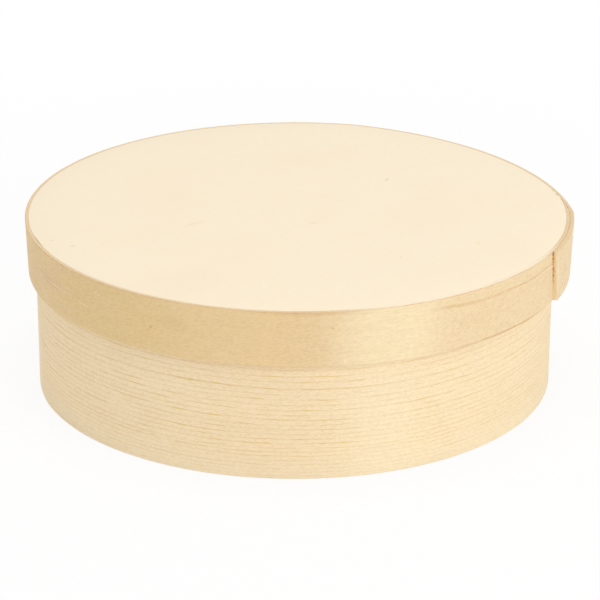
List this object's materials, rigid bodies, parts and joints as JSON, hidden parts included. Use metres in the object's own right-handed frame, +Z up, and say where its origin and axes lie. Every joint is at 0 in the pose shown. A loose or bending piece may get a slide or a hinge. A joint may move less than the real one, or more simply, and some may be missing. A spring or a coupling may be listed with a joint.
{
  "type": "cheese box",
  "caption": "Round bentwood cheese box: a deep wall of thin wood strip round a flat floor, with a loose shallow lid of the same kind that lifts straight off.",
  "frame": {"origin": "centre of the box's underside, on the axis of the body's round", "axes": "+Z up through the lid; -Y is the side seen in the picture, +X is to the viewer's right"},
  "size_m": [0.2009, 0.1994, 0.0638],
  "materials": {
    "spruce_strip": "raw planed softwood with fine growth lines",
    "poplar_strip": "raw peeled veneer with a faint cloudy figure",
    "thin_board": "raw smooth pale board",
    "dried_glue": "dried amber wood glue"
  },
  "bodies": {
    "base": {"body_strip": "spruce_strip", "bottom_board": "thin_board", "body_lap_glue": "dried_glue", "bottom_glue_bead": "dried_glue"},
    "lid": {"lid_strip": "poplar_strip", "lid_board": "thin_board", "lid_lap_glue": "dried_glue", "lid_glue_bead": "dried_glue"}
  },
  "joints": [
    {"name": "lid_lift", "type": "slide", "parent": "base", "child": "lid", "axis": [0, 0, 1], "range_m": [0, 0.06]}
  ]
}
